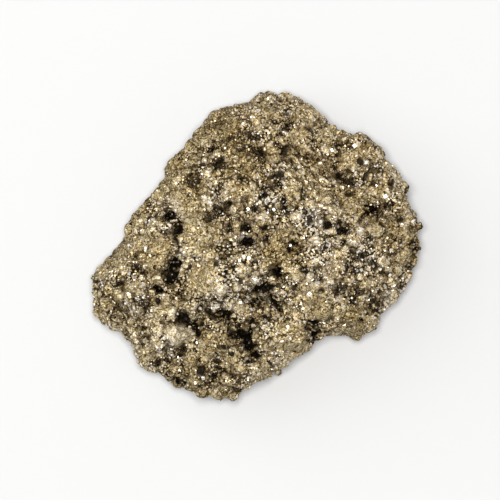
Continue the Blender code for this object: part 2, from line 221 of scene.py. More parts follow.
# x, y, half length, half width, turn in degrees and depth of each pit in the top
pits = [
    (-15.1, 5.1, 0.9, 0.8, 0, 3), (-13.8, 2.7, 1.7, 0.7, 80, 2), (-15.5, 2.3, 0.6, 0.4, 0, 1),
    (-7.8, 17, 0.7, 0.5, 30, 2), (-6.4, 14.7, 1.1, 0.5, 50, 1.5), (-11.4, 11.5, 0.8, 0.5, -40, 0.9),
    (-10.1, 11.5, 1.5, 0.4, 85, 0.9), (-8.8, 14.2, 0.6, 0.3, 20, 1), (-4.8, 7.4, 0.9, 0.45, 10, 1.5),
    (-6.3, 6.3, 0.9, 0.35, -35, 1.5), (-8.2, 4.9, 0.7, 0.5, 0, 1.2), (-4.5, 3.3, 1.2, 0.5, 85, 2),
    (-1.5, 3.1, 1.1, 0.6, -20, 2), (-1.3, 0.7, 1, 0.55, -15, 3), (-4.4, 0.5, 0.5, 0.4, 0, 1.5),
    (-0.1, 6.4, 0.6, 0.5, 0, 1.5), (-2.2, 8.2, 0.6, 0.3, -20, 1), (-1.8, 11.8, 0.6, 0.3, -30, 1),
    (0.8, 16.2, 1.5, 0.7, -35, 1.2), (-4.4, 18.9, 0.7, 0.3, 0, 1), (-0.7, 19.1, 1.2, 0.4, -15, 1),
    (-6.3, 22.1, 0.8, 0.3, 10, 1), (-3, 24.6, 0.5, 0.25, 0, 0.8), (-6.3, 10, 0.4, 0.3, 0, 1),
    (-10.3, 1, 0.25, 0.25, 0, 1), (-19, 7.1, 0.5, 0.35, 0, 1), (-10.3, 9.6, 0.6, 0.2, 45, 1),
    (-2.6, 17, 0.9, 0.6, 0, 1), (-1.3, 22.2, 0.6, 0.4, 0, 1), (-5.9, 18.2, 0.5, 0.2, 0, 0.8),
    (-13.7, -0.2, 1.3, 0.4, 90, 1.5), (-8.2, -0.3, 0.6, 0.2, 0, 1), (3.2, 21.8, 0.9, 0.35, -35, 1),
    (6.3, 21.7, 0.65, 0.45, 0, 1.6), (5.5, 20.9, 1, 0.4, 60, 1), (5.5, 23.7, 0.7, 0.4, 60, 1),
    (4.7, 16.7, 1.1, 0.4, -60, 1.5), (3.4, 17.8, 0.4, 0.25, 0, 1), (7.4, 16.3, 1.2, 0.2, -50, 1),
    (11.1, 22.2, 0.5, 0.3, 80, 1), (10.3, 18.5, 0.3, 0.3, 0, 0.8), (12.6, 15.4, 0.4, 0.3, 0, 1),
    (15.2, 11.7, 1.6, 0.5, -25, 1.6), (16.9, 10.8, 0.8, 0.35, -30, 1.3), (13.7, 13.8, 0.6, 0.25, -60, 1),
    (20.3, 12.9, 0.65, 0.35, 0, 1.5), (19.2, 13.7, 0.5, 0.3, 0, 1.2), (21.6, 13.3, 0.5, 0.3, 20, 0.5),
    (23.8, 10.6, 0.8, 0.4, -50, 1.2), (20.3, 6.3, 1.3, 0.65, 5, 2.5), (19.2, 5.5, 0.9, 0.35, 15, 2),
    (22.8, 6.9, 0.7, 0.4, 0, 1.5), (21.4, 5.5, 0.6, 0.35, 0, 1.2), (22.1, 3.5, 0.8, 0.3, -15, 1.3),
    (25.5, 4.6, 0.8, 0.4, 0, 1), (27.6, 6, 0.5, 0.4, 0, 1), (28, 0.7, 0.5, 0.5, 0, 1.5),
    (27.7, 3, 0.35, 0.3, 0, 1), (12, 5.1, 0.6, 0.35, -60, 1.5), (12.6, 3.7, 0.8, 0.45, -50, 1.8),
    (14.7, 4, 0.5, 0.35, -50, 1.5), (15.4, 2.7, 1.1, 0.5, -20, 1.8), (5, 7.4, 1.1, 0.5, -70, 2),
    (5.5, 5.7, 0.6, 0.3, -70, 1.3), (1.4, 3, 1, 0.5, -20, 1.5), (1.8, 1.1, 0.6, 0.5, 0, 1.5),
    (6.9, 0.5, 0.7, 0.45, -30, 1.6), (13.9, 1.1, 0.5, 0.25, 0, 1), (6.6, 8.4, 0.3, 0.25, 0, 1),
    (8.2, 8.6, 0.3, 0.3, 0, 1), (2.9, 12.1, 0.9, 0.4, 35, 1.2), (2.8, 10.7, 1.2, 0.3, 10, 1),
    (8.5, 11, 0.5, 0.25, 0, 1), (16.5, 9, 1.1, 0.5, 10, 1.2), (14.8, 17.8, 1, 0.3, -30, 1.2),
    (17, 17.3, 0.8, 0.3, 0, 1), (10.8, 11.9, 0.8, 0.25, -40, 1), (-14.7, -3.4, 0.9, 0.7, 90, 3),
    (-14.8, -4.7, 1, 0.65, 90, 2.5), (-14.4, -5.8, 0.8, 0.6, 0, 2.2), (-15.4, -6.4, 0.6, 0.4, 60, 2),
    (-17.3, -7.7, 0.95, 0.5, -35, 2.2), (-21.1, -1.8, 0.6, 0.45, 0, 1.4), (-20.9, -3.8, 1, 0.7, 0, 1.2),
    (-19.8, -4.7, 0.6, 0.4, 0, 1), (-28.3, -6.4, 0.5, 0.3, 0, 1), (-23.9, -6.7, 0.9, 0.5, 0, 1.3),
    (-23.3, -7.7, 0.5, 0.4, 0, 1), (-27.6, -12, 0.35, 0.3, 0, 1.2), (-24.3, -11.3, 1, 0.4, -20, 1),
    (-19.6, -10.9, 0.8, 0.4, -60, 1.3), (-19.8, -9.5, 0.4, 0.3, 0, 0.8), (-19.5, -12.4, 0.5, 0.25, 0, 1),
    (-19.6, -14.6, 0.6, 0.3, 0, 1.5), (-16.5, -13.7, 0.6, 0.25, -20, 1),
    (-12.3, -13, 0.9, 0.45, -40, 2.3), (-11, -14.3, 1.1, 0.55, -40, 2.3),
    (-10.1, -15.6, 0.7, 0.3, -60, 1.8), (-10, -11.5, 0.35, 0.3, 0, 1.3), (-8.2, -11.9, 0.7, 0.5, 0, 1.6),
    (-5.7, -12, 1.3, 0.55, -20, 2.5), (-7.3, -12.4, 0.8, 0.5, 0, 1.5), (-0.7, -13.5, 0.7, 0.5, 0, 2),
    (-3.1, -14.1, 0.9, 0.5, 0, 1.5), (-2.9, -15.7, 1.5, 0.9, 0, 2), (-1.2, -16.3, 2, 0.6, 80, 3),
    (0.2, -19.3, 0.9, 0.5, -30, 2.2), (-0.9, -17.9, 0.8, 0.5, 0, 2), (-13, -18.5, 1.2, 0.4, 70, 1.2),
    (-16, -18.2, 0.6, 0.3, 0, 1.2), (-17.4, -20.7, 0.9, 0.5, 30, 1.8), (-15.6, -20.5, 0.7, 0.4, 0, 1.5),
    (-14.1, -24, 0.7, 0.4, 0, 1.6), (-12.6, -24.1, 0.5, 0.5, 0, 1.5), (-7.3, -23.1, 0.7, 0.4, 60, 1.5),
    (-8.2, -24.5, 0.5, 0.4, 0, 1.2), (-5.3, -22.3, 2.2, 0.3, -30, 1.4), (-2.9, -24, 0.4, 0.3, 0, 1),
    (-7.2, -20.3, 0.8, 0.3, -30, 1), (-0.9, -20.4, 1, 0.4, 0, 1.3), (-8.6, -26.4, 0.5, 0.3, 0, 1),
    (-3.5, -25.7, 1, 0.25, -10, 1.2), (-3.5, -10.6, 0.3, 0.3, 0, 1), (-0.4, -10.6, 0.35, 0.3, 0, 1),
    (-13, -9.1, 0.9, 0.3, -60, 1), (-5.8, -0.6, 0.7, 0.3, -60, 1), (-5.6, -2.2, 0.7, 0.4, 0, 1),
    (-19.3, -16.1, 1.2, 0.3, 0, 1), (-25.4, -3.6, 0.5, 0.3, 0, 1), (-28.2, -7.7, 1.2, 0.25, 15, 1),
    (-23.6, -12.3, 1.5, 0.15, -60, 0.6), (-22.9, -12, 1.5, 0.15, -60, 0.6),
    (-21.2, -13, 1.3, 0.15, -60, 0.6), (-20.7, -12.6, 1.2, 0.15, -60, 0.6), (1.9, -7.9, 1.1, 0.7, -30, 3),
    (0.6, -7.8, 0.9, 0.7, 0, 2.5), (3.2, -9.4, 0.9, 0.6, -40, 2.6), (4, -11, 0.8, 0.5, -50, 2.4),
    (0.6, -9.7, 0.8, 0.6, 0, 2), (1.9, -12.6, 1.2, 0.3, -10, 1.5), (4.7, -9.7, 0.5, 0.5, 0, 1.4),
    (3.4, -5, 1.15, 0.5, -10, 2.6), (5.2, -5.1, 0.8, 0.3, 0, 1.3), (6.3, -0.8, 1.1, 0.3, -20, 1.5),
    (8, -0.8, 0.35, 0.3, 0, 1.2), (8.4, -4.2, 0.6, 0.45, 0, 1.8), (10.4, -3.9, 0.5, 0.25, 0, 1),
    (11.4, -8, 0.75, 0.5, 0, 1.3), (13.7, -10.6, 0.5, 0.45, 0, 1.3), (14.7, -7.2, 0.6, 0.3, 20, 1),
    (17.6, -7.6, 0.7, 0.2, 85, 0.8), (17.4, -9.7, 1, 0.3, 80, 1.2), (19.6, -11, 0.8, 0.25, 60, 0.9),
    (21, -9.5, 0.7, 0.2, 20, 0.8), (20.7, -11.3, 0.5, 0.3, 0, 0.8), (19, -13.4, 0.5, 0.25, -30, 1.2),
    (10.3, -13.8, 0.9, 0.45, 0, 2.2), (10.7, -15.7, 1.2, 0.5, 60, 2.6), (9.6, -16.8, 0.7, 0.35, 20, 1.8),
    (9.1, -14.6, 0.5, 0.4, 0, 1.3), (16.1, -4.3, 0.8, 0.3, 80, 1.3), (17.3, -4.6, 0.7, 0.3, 80, 1.2),
    (17.5, -2.5, 0.5, 0.35, 0, 1.2), (18.8, -1.7, 0.7, 0.4, 0, 1.5), (20.9, -2.8, 0.7, 0.3, -40, 1.2),
    (23.1, -4.9, 0.6, 0.4, 0, 1.2), (24.2, -3.4, 0.5, 0.2, 0, 1), (25.7, -7.2, 0.7, 0.5, 0, 1.3),
    (27.7, -4, 0.6, 0.3, 0, 1.2), (28.6, -0.6, 0.6, 0.4, 0, 1.3), (28, -2.1, 0.5, 0.3, 0, 1),
    (22.8, -9.3, 0.4, 0.3, 0, 1), (23.5, -7.6, 0.5, 0.2, 0, 1), (4.7, -15.9, 0.5, 0.2, 0, 1),
    (2.5, -20.7, 0.9, 0.25, -50, 1.5), (4.5, -20, 0.5, 0.3, 0, 1.2), (2.5, -22.3, 0.4, 0.3, 0, 1),
    (14.3, -0.8, 0.4, 0.3, 0, 1.2), (12.2, -0.6, 0.4, 0.25, 0, 1), (15.5, 0.5, 0.4, 0.4, 0, 1.3),
    (19.5, 0.5, 0.5, 0.3, 0, 1), (23.8, -1.6, 0.5, 0.25, 0, 1.2), (6.8, 13.6, 1.1, 0.18, -50, 1),
    (10.2, 11, 0.7, 0.22, -15, 1), (9, 16, 1.3, 0.16, -45, 0.8), (12.5, 12.6, 1.2, 0.16, -34, 0.8),
]

# x, y, half length, half width, turn and extra lightness of each smooth round mound
mounds = [
    (6.9, -5.5, 1.1, 0.6, -60, 0.1), (9.3, -5.3, 0.9, 0.8, 0, 0.2), (8.5, -7.2, 0.9, 0.9, 0, 0),
    (2.1, -3.2, 1.5, 1.3, 0, 0), (2.2, -11.1, 0.5, 0.5, 0, 0.2), (1.5, -14.3, 0.6, 0.4, 20, 0.4),
    (22.7, -2.9, 1.1, 1, 0, 0.2), (26.9, -2, 1.5, 1.2, 60, 0.1), (12.5, 17, 1.2, 0.9, -30, 0.3),
    (7.8, 14.7, 2.3, 0.6, -48, 0.22), (18.4, 2.6, 1, 1, 0, 0.3), (20.9, 2.8, 1.5, 1.3, 0, 0.2),
    (13.5, 6.3, 1.1, 0.9, 0, 0.2), (16.5, 6.6, 1.3, 1.1, 0, 0.25), (17.7, 8.4, 0.9, 0.7, 0, -0.1),
    (12.2, 8.2, 1.4, 0.8, -20, 0.05), (3.6, 15.4, 0.8, 0.6, 0, 0.2), (2.5, 17.6, 0.8, 0.7, 0, 0.2),
    (-8.9, 18.4, 1.2, 1, 0, 0.2), (-8.9, 14.9, 0.9, 0.6, 0, 0.1), (-4, 6.4, 1, 0.8, 0, 0.2),
    (-2, 1.7, 1.4, 0.4, 10, 0.35), (-8.1, 1.1, 1.2, 0.9, 70, 0.1), (-18.2, 2.1, 1.3, 1, 20, 0),
    (-16.6, -11.3, 1.8, 1, -10, 0.15), (-14.6, -11.6, 0.9, 0.9, 0, 0.2), (-13.4, -15.8, 2.4, 2, 0, 0.1),
    (-8.1, -1.7, 1.2, 1, 0, 0), (-6.4, -7.8, 1.4, 1.2, 0, 0.05), (-2, -4.5, 1.5, 1.1, 0, 0),
    (-17.1, -6.1, 1.2, 0.9, 0, 0.1), (-24.3, -9, 1.3, 0.9, -60, 0.1), (-9.2, -23.1, 0.7, 0.6, 0, 0.35),
    (-16.8, -0.5, 1.6, 1.1, 0, 0.05), (-11.5, 3.8, 1.3, 0.9, -60, 0.1), (7.2, -17.3, 2, 1.2, 30, 0.05),
    (12, -11.5, 1.8, 1.3, 40, 0.05), (13.6, -6, 1.3, 0.9, 0, 0.05), (-3.3, -18.5, 1, 0.9, 0, -0.1),
    (-11.3, -19.8, 1.6, 1, 20, 0), (-3, -21.8, 1.3, 1, 0, 0.1), (22.5, 16.5, 1.2, 0.9, -50, 0),
    (15.8, 15.6, 0.9, 0.7, 0, 0.1), (7, 5, 1.2, 0.8, 0, 0.1), (9.8, 7.2, 1.2, 0.8, 0, 0),
    (-1.5, 13.3, 1.3, 1, 0, 0), (6, 18.8, 1, 0.7, 0, 0), (8.6, 22, 1.2, 0.9, 0, 0.05),
    (2, 24, 1.5, 1, 0, 0), (-6.5, 20.7, 1.6, 0.6, 10, 0), (-4.7, 12.8, 1, 0.8, 0, 0),
    (18, -15, 1.4, 0.8, 0, 0), (16.8, -13.6, 0.9, 0.7, 0, 0.1), (10.5, 0.9, 1, 0.8, 0, 0.1),
    (4.7, 18.4, 0.9, 0.7, -50, 0.1), (6.3, 12.3, 1.3, 0.5, -35, 0.05), (12.4, 11.4, 2.5, 0.5, -34, 0.12),
    (10.2, 13.6, 1.3, 0.45, -45, 0.08), (9.9, 9.3, 1.1, 0.6, 20, 0.05), (15.2, 13.9, 1.1, 0.8, 20, -0.05),
]

# x, y, half width and extra lightness of broad areas painted paler and darker: painted light and shade
paintedLightAndShade = [
    (10.5, -5.5, 2.5, 0.25), (23.5, -10.5, 3.5, 0.3), (-10, -25, 5, -0.2), (9, 16, 4.5, -0.15),
    (-2.5, 16.5, 4.5, -0.35), (18.5, 1.5, 3, 0.2), (-13.5, -9, 3, -0.35), (-8.5, -16, 3, -0.3),
    (4.5, -1.5, 3, -0.4), (-11, 9, 3, -0.3), (22.5, 3.5, 2.5, -0.3), (-27, -10.5, 3, -0.2),
    (-20, -15, 2.5, -0.2), (-21.5, -11, 2.5, 0.3), (-15, -18, 2.5, 0.3), (-12.5, -13, 3, 0.35),
    (-14.5, 6, 3, 0.35), (-2.5, 10, 2, -0.2), (-7.5, 7.5, 2.5, 0.3), (-5, -9, 3.5, 0.4),
    (2, -6.5, 3, 0.3), (2, 7.5, 2.5, 0.3), (10, 4.5, 2.5, 0.5), (12, -1, 2.5, 0.2),
    (19.5, -2.5, 2.5, 0.4), (15, -8, 2.5, 0.35), (18.5, 13, 2.5, 0.25), (7, 8.5, 2, -0.15),
    (-3, -12.5, 2.5, -0.3), (-13.5, -22.5, 2.5, -0.2), (16, -11, 2.5, -0.25), (17, 17, 3, -0.15),
    (22.5, 10.5, 2, -0.2), (-8, 23.5, 3, 0.15), (25.5, 12.5, 3, 0.2), (-1.5, 1, 1.5, 0.35),
    (0, 20, 2, 0.25), (29, 0.5, 3, -0.2), (-13, -3.5, 2.5, 0.2), (-20.5, -3, 2, -0.2),
    (4.5, 12.5, 2, 0.3), (10.5, 21.5, 2, 0.25), (5.5, -20.5, 3.5, 0.2), (-2.5, -20.5, 2, -0.2),
]

# x, y and half width of the calm areas, where the stone is even and bears few crystals
calmAreas = [
    (-18, -1, 3.4), (-10.5, 2, 4), (-9, -6, 2.8), (-12.5, 8.3, 2.9), (10.5, -10, 3.6), (6.5, -17, 3.6),
    (18, -14, 3.4), (-24, -2, 3), (2, -22, 3), (-4, 9.5, 2), (17.5, 7.5, 2.6), (-6, 21, 3),
]

# x, y, half width and depth of the places where the outline is drawn in
dents = [(12.3, -18.1, 1.8, 1.3)]

# the areas with side by side ridges: x, y, half length, half width, turn, distance between ridges
ridges = {
    "areas": [(9.4, 13.4, 6.0, 3.0, -43, 1.4), (-22.3, -12.3, 3.0, 2.2, -58, 1.0)],
    "reach": 1.2,
    "edge": 3,
    "bendWidth": 3.0,
    "bend": 0.6,
    "valleyWidth": 0.24,
    "valleyDepth": 0.55,
    # painted shade in the valleys between ridges
    "valleyShade": 0.85,
    "from": 5,  # height over which crystals lie along the ridges
    "stretch": (3.0, 0.5, 1.0),  # how much longer, narrower and higher they are
    "stray": 0.1,  # how far they lie off the ridges' direction, in radians
    "bald": 0.75,
}

# x, y and width of single crystals turned up to catch the key light, whose light tone is a painted highlight
glintFaces = [
    (-7.9, 7.4, 1), (-8.8, 8.5, 0.8), (-2.1, -1.9, 0.9), (-1.2, -2.2, 0.8), (-2.8, -2.6, 0.8),
    (7.8, -10.1, 1.1), (8.3, -11, 0.9), (8.7, -12.1, 1), (1.3, -14.4, 0.8), (-0.1, -6, 0.9),
    (-6.7, -6.2, 0.7), (9.4, -8.5, 0.9), (-14, 11, 0.7), (17.6, 17.6, 1), (18.5, 18.3, 0.8),
    (19.4, 14.6, 0.9), (18.5, 15.3, 0.8), (19.6, 18.8, 0.7), (22.9, 8.7, 1), (24.2, 9.2, 0.8),
    (26.2, 10.3, 0.8), (27.8, 4.4, 1), (23.1, 1.3, 0.8), (17.9, -1, 0.9), (19, -2.6, 0.9),
    (21.9, -4.2, 0.9), (23.7, -5.3, 0.8), (-10.6, -24.2, 0.9), (-10.1, -24.9, 0.8), (-9.2, -23.3, 0.8),
    (-10.4, -17.1, 0.8), (-16, -16.3, 0.8), (-20.4, -21, 0.7), (7.6, 13.8, 0.8), (8.2, 12.6, 0.8),
]


def readMesh(mesh):
    points, normals = np.zeros(len(mesh.vertices) * 3), np.zeros(len(mesh.vertices) * 3)
    mesh.vertices.foreach_get("co", points)
    mesh.vertices.foreach_get("normal", normals)
    return points.reshape(-1, 3) / mm, normals.reshape(-1, 3)


def linkPiece(name, mesh):
    piece = bpy.data.objects.new(name, mesh)
    bpy.context.scene.collection.objects.link(piece)
    return piece


def addAttribute(mesh, name, values, domain="POINT"):
    mesh.attributes.new(name, "FLOAT", domain).data.foreach_set("value", values)


def remeshed(mesh, voxel):
    helper = linkPiece("helper", mesh)
    grid = helper.modifiers.new("grid", "REMESH")
    grid.mode, grid.voxel_size = "VOXEL", voxel * mm
    bpy.context.view_layer.update()
    graph = bpy.context.evaluated_depsgraph_get()
    made = bpy.data.meshes.new_from_object(helper.evaluated_get(graph))
    bpy.data.objects.remove(helper)
    return made


def unit(vectors):
    return vectors / np.linalg.norm(vectors, axis=1)[:, None]


def seedShift(seed):
    # each seed reads another part of the noise
    return Vector((seed * 7.1, seed * 3.7, seed * 5.3))


def noiseAt(points, width, seed):
    shift = seedShift(seed)
    return np.array([noise.noise(Vector(p) / width + shift) for p in points])


cellScale = 1.6  # brings the squared distance in a cell to about 0 to 1


def cells(points, width, seed):
    # squared distance to the nearest cell's middle, about 0 to 1, and the gap to the next cell
    shift = seedShift(seed)
    near = np.array([noise.voronoi(Vector(p) / width + shift)[0][:2] for p in points])
    return np.minimum(near[:, 0] ** 2 * cellScale, 1.2), near[:, 1] - near[:, 0]


# the plain matt flank at the upper left: the way it faces, where it starts and how it fades in
flankPlace = {"up": 0.66, "left": 0.75, "start": 16.5, "fade": 3}


def flankAt(points):
    # 1 on the flank, 0 elsewhere
    along = points[:, 1] * flankPlace["up"] - points[:, 0] * flankPlace["left"]
    return np.clip((along - flankPlace["start"]) / flankPlace["fade"], 0, 1)


def topShare(points):
    # 1 on the upper part, 0 on the lower sides
    return np.clip((points[:, 2] - body["topStart"]) / body["topFade"], 0, 1)


def steepness(upright, start=1.2, slope=1.6):
    # 1 on a wall, 0 on a level place; upright is how far the surface faces up
    return np.clip(start - upright * slope, 0, 1)


def wandered(points):
    # the points moved a little at random, for ragged edges
    moved = points[:, :2].copy()
    for axis in (0, 1):
        for width, seed in ((1.6, 3), (0.6, 12)):
            moved[:, axis] += noiseAt(points, width, axis + seed) * body["ragged"]
    return moved


def ovalDistance(places, x, y, halfLength, halfWidth, turn):
    # squared distance from an oval's middle, 1 at its edge
    c, s = math.cos(math.radians(turn)), math.sin(math.radians(turn))
    dx, dy = places[:, 0] - x, places[:, 1] - y
    return ((dx * c + dy * s) / halfLength) ** 2 + ((dy * c - dx * s) / halfWidth) ** 2


def roundDistance(points, x, y, halfWidth):
    # squared distance from a round area's middle, 1 at its edge
    return ((points[:, 0] - x) ** 2 + (points[:, 1] - y) ** 2) / halfWidth ** 2


def pitDepth(points, grown=0.0):
    # how much painted shade each point gets from a pit, 0 to 1, which also marks the pit, and by how much it
    # sinks
    places = wandered(points)
    shade, sink = np.zeros(len(points)), np.zeros(len(points))
    for x, y, halfLength, halfWidth, turn, depth in pits:
        far = ovalDistance(places, x, y, halfLength + grown, halfWidth + grown, turn)
        shallow = min(max(pitShape["shallow"] - depth, 0), 1)
        # painted shade in the pit
        dark = np.clip((pitShape["shadeReach"] - far) / pitShape["shadeEdge"], 0, 1)
        dark = dark * (1 - np.clip(far, 0, 1) * shallow * pitShape["shallowFade"])
        dark = dark * min(1, pitShape["leastShade"] + depth * pitShape["shadePerDepth"])
        shade = np.maximum(shade, dark)
        wall = np.clip(pitShape["reach"] - far, 0, 1) ** pitShape["wallPower"]
        sink = np.maximum(sink, wall * depth * pitShape["sinkShare"])
    return shade, sink


def moundHeight(points):
    # how much each point belongs to a mound, its height, its extra lightness, the painted shade in a ring
    # around it, where a groove would lie, and the distance from its middle
    places = wandered(points)
    share, height, light, paintedGrooveShade, ring = np.zeros((5, len(points)))
    for *oval, extra in mounds:
        far = ovalDistance(places, *oval)
        near = np.clip(moundShape["reach"] - far, 0, 1)
        full = np.minimum(near * moundShape["edge"], 1)
        share = np.maximum(share, full)
        height = np.maximum(height, near ** moundShape["roundness"] * oval[3] * moundShape["height"])
        light += full * (extra * moundShape["lightShare"] - moundShape["lightLoss"])
        apart = (far - moundShape["grooveAt"]) / moundShape["grooveWidth"]
        paintedGrooveShade = np.maximum(paintedGrooveShade, np.exp(-(apart ** 2)))
        ring = np.where(far < moundShape["reach"], np.sqrt(far) * oval[3], ring)
    return share, height, light, paintedGrooveShade * (share < moundShape["grooveFree"]), ring


def ridgeValleys(points):
    # how much each point belongs to an area of ridges and to a valley between two of them,
    # and its distance across them
    inside, valley, across = np.zeros((3, len(points)))
    bend = noiseAt(points, ridges["bendWidth"], 41) * ridges["bend"]
    for x, y, halfLength, halfWidth, turn, step in ridges["areas"]:
        c, s = math.cos(math.radians(turn)), math.sin(math.radians(turn))
        far = ovalDistance(points, x, y, halfLength, halfWidth, turn)
        phase = ((points[:, 1] - y) * c - (points[:, 0] - x) * s) / step + bend
        off = np.abs(phase - np.round(phase)) * step
        near = np.clip((ridges["reach"] - far) * ridges["edge"], 0, 1)
        inside = np.maximum(inside, near)
        valley = np.maximum(valley, near * np.exp(-((off / ridges["valleyWidth"]) ** 2)))
        across = np.where(near > 0, phase * step, across)
    return inside, valley, across


def calmness(points):
    calm = np.zeros(len(points))
    for area in calmAreas:
        far = roundDistance(points, *area)
        calm = np.maximum(calm, np.clip((calmLook["reach"] - far) * calmLook["edge"], 0, 1))
    return calm


# where the crust of grains is thin: in random patches, and more so on these places
bareness = {
    "patchWidth": 3.2, "patchContrast": 2.2, "usual": 0.15, "onFlank": 0.5, "onWalls": 0.2, "onMounds": 0.95,
}

# how much lighter or darker each kind of place is
lightness = {"paintedWallShade": -0.16, "flank": -0.20, "calm": -0.11, "paintedLightAndShade": 0.9}

# golden brown against grey: widths and strengths of two noises, and what is added to them
warmLook = {
    "wide": (5.5, 0.8), "narrow": (1.4, 0.7), "usual": 0.15, "towardsUpperRight": 0.012, "onFlank": 0.2,
}


def baldness(points, normals):
    # 0 where the crust is thick with grains, 1 where the body shows through it
    steep = steepness(np.abs(normals[:, 2]), start=1.1)
    bald = noiseAt(points, bareness["patchWidth"], 11) * bareness["patchContrast"] + bareness["usual"]
    bald = bald + flankAt(points) * bareness["onFlank"] + steep * bareness["onWalls"]
    bald = np.maximum(bald, ridgeValleys(points)[0] * ridges["bald"])
    bald = np.maximum(bald, calmness(points) * calmLook["bald"])
    onMounds = moundHeight(points)[0] * topShare(points) * bareness["onMounds"]
    return np.clip(np.maximum(bald, onMounds), 0, 1)


def paleness(points, normals):
    # how much lighter or darker the stone is: the steep sides get painted shade, the flank and the calm areas
    # are dull, and broad patches get painted light and shade
    pale = lightness["paintedWallShade"] * steepness(np.abs(normals[:, 2]))
    pale = pale + lightness["flank"] * flankAt(points) + lightness["calm"] * calmness(points)
    for *area, extra in paintedLightAndShade:
        pale += extra * lightness["paintedLightAndShade"] * np.exp(-roundDistance(points, *area))
    return pale


def warmth(points):
    # -1 where the stone is grey, 1 where it is golden brown
    wide, narrow = warmLook["wide"], warmLook["narrow"]
    warm = noiseAt(points, wide[0], 31) * wide[1] + noiseAt(points, narrow[0], 32) * narrow[1]
    warm = warm + warmLook["usual"] + (points[:, 0] + points[:, 1]) * warmLook["towardsUpperRight"]
    return warm - warmLook["onFlank"] * flankAt(points)


def makeBody():
    bm = bmesh.new()
    bm.from_mesh(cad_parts[nodeName].data)
    bmesh.ops.remove_doubles(bm, verts=bm.verts, dist=1e-6)
    solid = bpy.data.meshes.new("solid")
    bm.to_mesh(solid)
    bm.free()
    mesh = remeshed(solid, body["voxel"])
    points, normals = readMesh(mesh)
    free = np.clip(points[:, 2] - body["baseFlat"], 0, 1)
    facingUp = np.clip(normals[:, 2] * 2.5 + 0.6, 0, 1) * topShare(points)  # 0 to 1
    pit, sink = pitDepth(points)
    mound, height, light, paintedGrooveShade, ring = moundHeight(points)
    inside, valley, across = ridgeValleys(points)
    flank = flankAt(points)
    steep = steepness(np.abs(normals[:, 2]))
    clump, clumpGap = cells(points, body["clumpWidth"], 1)
    knot, knotGap = cells(points * (1, 1, body["knotTall"]), body["knotWidth"], 2)
    bead, beadGap = cells(points, body["beadWidth"], 7)
    # cracks run between knots and clumps, in places wide and in places none
    wide = np.clip(noiseAt(points, cracks["areaWidth"], 5) * cracks["areaContrast"] + cracks["usual"], 0, 1)
    half = cracks["thin"] + (cracks["wide"] - cracks["thin"]) * wide ** 2
    plain = 1 - cracks["lessOnFlank"] * flank
    crack = np.exp(-((knotGap / half) ** 2)) * np.clip(wide * 4, 0, 1) * plain
    crack = np.maximum(crack, np.exp(-((clumpGap / cracks["thin"]) ** 2)) * plain)
    onMounds, whereCalm = cracks["lessOnMounds"] * mound, cracks["lessWhereCalm"] * calmness(points)
    crack *= (1 - onMounds * facingUp) * (1 - whereCalm)
    # the relief
    sunk = body["skin"] + clump * body["clumpDepth"] * (1 + body["clumpOnWalls"] * steep)
    sunk += knot * body["knotDepth"] * (1 + body["knotOnWalls"] * steep + body["knotOnFlank"] * flank)
    sunk += bead * body["beadDepth"] + crack * cracks["depth"] + valley * ridges["valleyDepth"]
    points -= normals * (sunk * free)[:, None]
    points[:, 2] += (height - sink) * facingUp
    for *area, depth in dents:
        far = roundDistance(points, *area)
        points[:, :2] -= unit(points[:, :2]) * (depth * np.exp(-far))[:, None]
    points[:, 2] = np.maximum(points[:, 2], 0)
    mesh.vertices.foreach_set("co", (points * mm).ravel())
    # what the material reads
    # painted shade in the pits, the cracks, the rings round the mounds and the valleys between ridges
    paintedHollowShade = np.maximum(pit * facingUp, crack * free * cracks["shade"])
    paintedHollowShade = np.maximum(paintedHollowShade, paintedGrooveShade * facingUp * moundShape["grooveShade"])
    paintedHollowShade = np.maximum(paintedHollowShade, valley * ridges["valleyShade"])
    bald = baldness(points, normals)
    joint = body["jointShade"] * np.exp(-((beadGap / body["jointWidth"]) ** 2)) * (1 - bald)
    # painted shade in small random crevices, which are not cut in
    paintedCreviceShade = np.clip(noiseAt(points, 0.6, 21) * 2.5 + 0.6, 0, 1)  # small random crevices
    clear = np.maximum(bald, steep * body["clearOnWalls"])
    # the painted shade and the dark joints between beads, which darken the colour
    addAttribute(mesh, "open", (1 - paintedHollowShade) * (1 - joint) * (clear + (1 - clear) * body["underCrust"] * paintedCreviceShade))
    addAttribute(mesh, "paintedHollowShade", paintedHollowShade)
    tone = body["tone"] + body["toneChange"] * noiseAt(points, 1.5, 8) + light * facingUp
    addAttribute(mesh, "tone", tone + paleness(points, normals))
    addAttribute(mesh, "rough", 1 - bald)
    addAttribute(mesh, "lines", bald)
    ring = np.where(mound > 0.1, ring, np.sqrt(knot / cellScale) * body["knotWidth"])
    addAttribute(mesh, "ring", np.where(inside > 0, across, ring))
    addAttribute(mesh, "warm", warmth(points))
    mesh.shade_smooth()
    mesh.update()
    return mesh


def simplifyBase(mesh):
    # the flat underside needs few faces
    bm = bmesh.new()
    bm.from_mesh(mesh)
    inside = []
    for v in bm.verts:
        around = [v] + [e.other_vert(v) for e in v.link_edges]
        if all(w.co.z < body["flatTo"] * mm for w in around):
            inside.append(v)
    edges = list(dict.fromkeys(e for v in inside for e in v.link_edges))
    bmesh.ops.dissolve_limit(bm, angle_limit=body["flatAngle"], verts=inside, edges=edges)
    bmesh.ops.triangulate(bm, faces=[f for f in bm.faces if len(f.verts) > 4])
    bm.to_mesh(mesh)
    bm.free()
